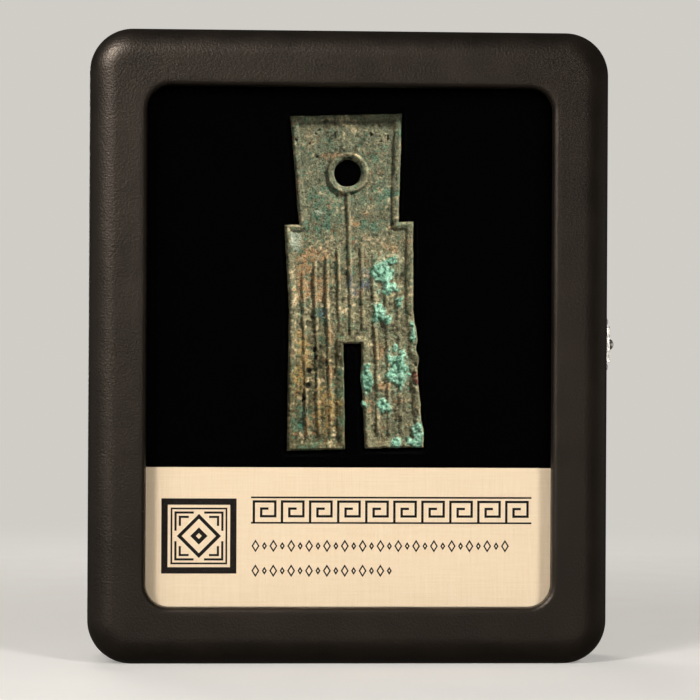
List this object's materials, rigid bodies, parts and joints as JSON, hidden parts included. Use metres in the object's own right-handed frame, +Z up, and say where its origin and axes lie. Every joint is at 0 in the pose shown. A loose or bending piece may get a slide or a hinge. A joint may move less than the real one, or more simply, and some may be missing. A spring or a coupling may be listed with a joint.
{
  "type": "cased spade coin",
  "caption": "Cast bronze spade coin with a pierced head, bedded on black velvet with a caption card in a glazed, leatherette-covered display case with a hinged lid and push-button catch.",
  "frame": {"origin": "middle of the closed case's underside, at its mid-width and at the middle of its depth from glass side to back", "axes": "+Z up as the case stands, +X to the viewer's right of the front, +Y towards the back"},
  "size_m": [0.0926, 0.028, 0.1096],
  "materials": {
    "leatherette": "black grained leatherette, satin",
    "board": "fibreboard dyed black",
    "felt": "matt black felt",
    "black_card": "matt black card",
    "foam": "dark open-cell foam",
    "velvet": "black velvet",
    "linen_card": "cream linen-pressed card, matt",
    "bronze": "old cast bronze, olive-brown with green crusts",
    "glass": "clear float glass",
    "nickel": "bright nickel plate",
    "steel": "drawn steel wire"
  },
  "bodies": {
    "base": {"base_tray": "board", "base_covering": "leatherette", "back_sheet": "felt", "inner_collar": "black_card", "pad_board": "board", "pad_foam": "foam", "pad_velvet": "velvet", "caption_card": "linen_card", "spade_coin": "bronze", "upper_hinge_base_leaf": "nickel", "lower_hinge_base_leaf": "nickel", "upper_hinge_pin": "steel", "lower_hinge_pin": "steel", "hinge_base_nails": "nickel", "catch_housing": "nickel", "catch_nails": "nickel", "catch_spring": "steel"},
    "lid": {"lid_frame": "board", "lid_covering": "leatherette", "glass_pane": "glass", "glass_retainer": "black_card", "upper_hinge_lid_leaf": "nickel", "lower_hinge_lid_leaf": "nickel", "hinge_lid_nails": "nickel", "strike_plate": "nickel", "strike_nails": "nickel"},
    "button": {"catch_button": "nickel", "catch_bolt": "steel"}
  },
  "joints": [
    {"name": "lid_hinge", "type": "hinge", "parent": "base", "child": "lid", "pos_m": [-0.0441, -0.0025, 0.0548], "axis": [0, 0, -1], "range_deg": [0, 110]},
    {"name": "button_press", "type": "slide", "parent": "base", "child": "button", "axis": [-1, 0, 0], "range_m": [0, 0.0006], "stiffness_N_per_m": 600, "springref_m": -0.0008, "deforming": ["catch_spring"]}
  ]
}
